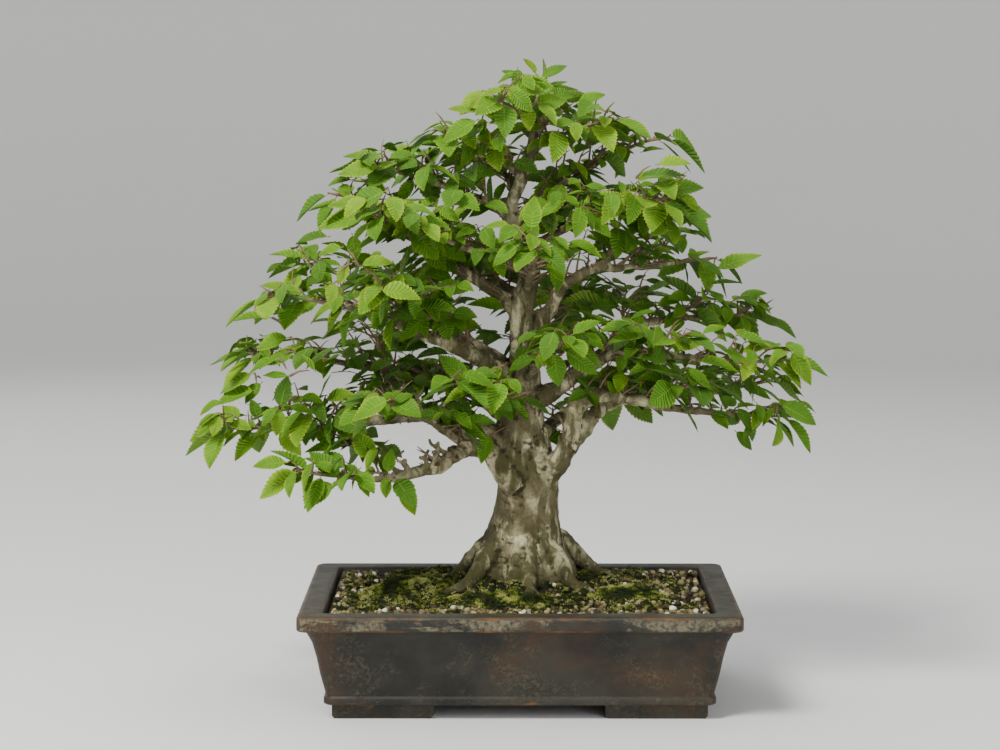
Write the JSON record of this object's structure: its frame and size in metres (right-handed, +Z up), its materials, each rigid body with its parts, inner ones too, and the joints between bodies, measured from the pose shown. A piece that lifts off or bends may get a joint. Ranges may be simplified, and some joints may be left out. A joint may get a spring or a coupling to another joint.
{
  "type": "hornbeam bonsai",
  "caption": "Small hornbeam tree with a tapering grey trunk, layered limbs and toothed green leaves, grown in moss and grit in a rectangular clay pot on corner feet.",
  "frame": {"origin": "on the surface the pot stands on, under the middle of the whole tree and pot", "axes": "+X to the right seen from the front, +Y to the back, +Z up the trunk"},
  "size_m": [0.5675, 0.3734, 0.5657],
  "materials": {
    "pot": "unglazed dark fired clay with rust-brown edges and pale mineral bloom",
    "drain_mesh": "plain black mesh",
    "soil": "rough dark soil with white, cream and tan grit",
    "moss": "tufted moss",
    "bark": "smooth grey-green fluted bark with brown mottling",
    "leaf": "fresh green pleated leaf with a soft sheen"
  },
  "bodies": {
    "root": {"drain_mesh_left": "drain_mesh", "drain_mesh_right": "drain_mesh", "moss_front": "moss", "moss_left": "moss", "moss_right": "moss", "pot": "pot", "soil": "soil", "spray_apex": "leaf", "spray_back_high_right_tip": "leaf", "spray_back_low_left_side_1": "leaf", "spray_back_low_left_tip": "leaf", "spray_back_low_right_side_1": "leaf", "spray_back_low_right_tip": "leaf", "spray_back_mid_left_side_1": "leaf", "spray_back_mid_left_tip": "leaf", "spray_back_mid_side_1": "leaf", "spray_back_mid_tip": "leaf", "spray_back_top_tip": "leaf", "spray_back_upper_tip": "leaf", "spray_front_left_tip": "leaf", "spray_front_low_tip": "leaf", "spray_front_mid_tip": "leaf", "spray_front_right_tip": "leaf", "spray_left_back_side_1": "leaf", "spray_left_back_tip": "leaf", "spray_left_crown_side_1": "leaf", "spray_left_crown_tip": "leaf", "spray_left_high_front_tip": "leaf", "spray_left_high_side_1": "leaf", "spray_left_high_tip": "leaf", "spray_left_low_front_tip": "leaf", "spray_left_low_side_1": "leaf", "spray_left_low_tip": "leaf", "spray_left_mid_side_1": "leaf", "spray_left_mid_side_2": "leaf", "spray_left_mid_tip": "leaf", "spray_left_top_tip": "leaf", "spray_left_twin_side_1": "leaf", "spray_left_twin_tip": "leaf", "spray_left_upper_side_1": "leaf", "spray_left_upper_side_2": "leaf", "spray_left_upper_tip": "leaf", "spray_right_high_out_side_1": "leaf", "spray_right_high_out_tip": "leaf", "spray_right_high_tip": "leaf", "spray_right_low_back_side_1": "leaf", "spray_right_low_back_tip": "leaf", "spray_right_low_side_1": "leaf", "spray_right_low_tip": "leaf", "spray_right_mid_front_side_1": "leaf", "spray_right_mid_front_tip": "leaf", "spray_right_mid_side_1": "leaf", "spray_right_mid_side_2": "leaf", "spray_right_mid_tip": "leaf", "spray_right_top_tip": "leaf", "spray_right_upper_front_tip": "leaf", "spray_right_upper_side_1": "leaf", "spray_right_upper_tip": "leaf", "spray_top_front_tip": "leaf", "trunk_and_limbs": "bark"}
  },
  "joints": []
}
